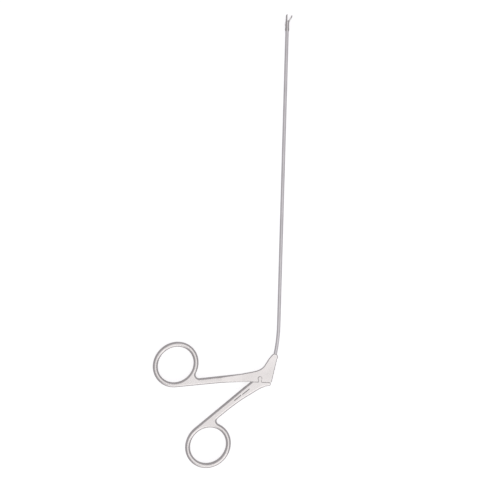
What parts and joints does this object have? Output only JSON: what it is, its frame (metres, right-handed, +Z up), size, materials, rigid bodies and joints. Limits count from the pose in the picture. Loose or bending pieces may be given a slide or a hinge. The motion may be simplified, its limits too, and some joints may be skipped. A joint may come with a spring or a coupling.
{
  "type": "microlaryngeal cup forceps",
  "caption": "Long thin-shafted forceps with two ring handles hinged at one end and a pair of hollow cup jaws, one moving, at the tip of the tube.",
  "frame": {"origin": "on the axis of the handle pivot, at the flush pin end on the underside of the joint", "axes": "+Z up from the table the instrument lies on, +Y along the straight shaft towards the jaws, +X away from the thumb ring"},
  "size_m": [0.0877, 0.3086, 0.0046],
  "materials": {
    "handle_steel": "satin",
    "tube_steel": "drawn, semi-bright",
    "jaw_steel": "polished",
    "pin_steel": "ground"
  },
  "bodies": {
    "thumb_handle_and_shaft": {"thumb_ring_handle": "handle_steel", "shaft_tube": "tube_steel", "fixed_cup_jaw": "jaw_steel", "jaw_pivot_pin": "pin_steel"},
    "finger_lever": {"finger_ring_handle": "handle_steel", "handle_pivot_pin": "pin_steel", "drive_pin": "pin_steel"},
    "rear_rod": {"rod_end_yoke": "pin_steel", "pull_rod_rear": "pin_steel"},
    "bent_wire": {"pull_wire_bend": "pin_steel"},
    "front_rod": {"pull_rod_front": "pin_steel", "cam_pin": "pin_steel"},
    "cup_jaw": {"moving_cup_jaw": "jaw_steel"}
  },
  "joints": [
    {"name": "handle_hinge", "type": "hinge", "parent": "thumb_handle_and_shaft", "child": "finger_lever", "pos_m": [0, 0, 0.0023], "axis": [0, 0, 1], "range_deg": [-10, 0]},
    {"name": "rear_rod_slide", "type": "slide", "parent": "thumb_handle_and_shaft", "child": "rear_rod", "axis": [-0.1754, -0.9845, 0], "range_m": [0, 0.00113]},
    {"name": "bent_wire_turn", "type": "hinge", "parent": "thumb_handle_and_shaft", "child": "bent_wire", "pos_m": [-0.10035, 0.03654, 0.0023], "axis": [0, 0, 1], "range_deg": [-0.58, 0]},
    {"name": "front_rod_slide", "type": "slide", "parent": "thumb_handle_and_shaft", "child": "front_rod", "axis": [0, -1, 0], "range_m": [0, 0.00113]},
    {"name": "cup_jaw_hinge", "type": "hinge", "parent": "thumb_handle_and_shaft", "child": "cup_jaw", "pos_m": [0.0122, 0.24145, 0.0023], "axis": [0, 0, 1], "range_deg": [0, 32]}
  ],
  "couplings": [
    {"joint": "rear_rod_slide", "follows": "handle_hinge", "m_per_rad": -0.0064419},
    {"joint": "bent_wire_turn", "follows": "handle_hinge", "ratio": 0.057517},
    {"joint": "front_rod_slide", "follows": "handle_hinge", "m_per_rad": -0.0064419},
    {"joint": "cup_jaw_hinge", "follows": "handle_hinge", "ratio": -3.2}
  ]
}
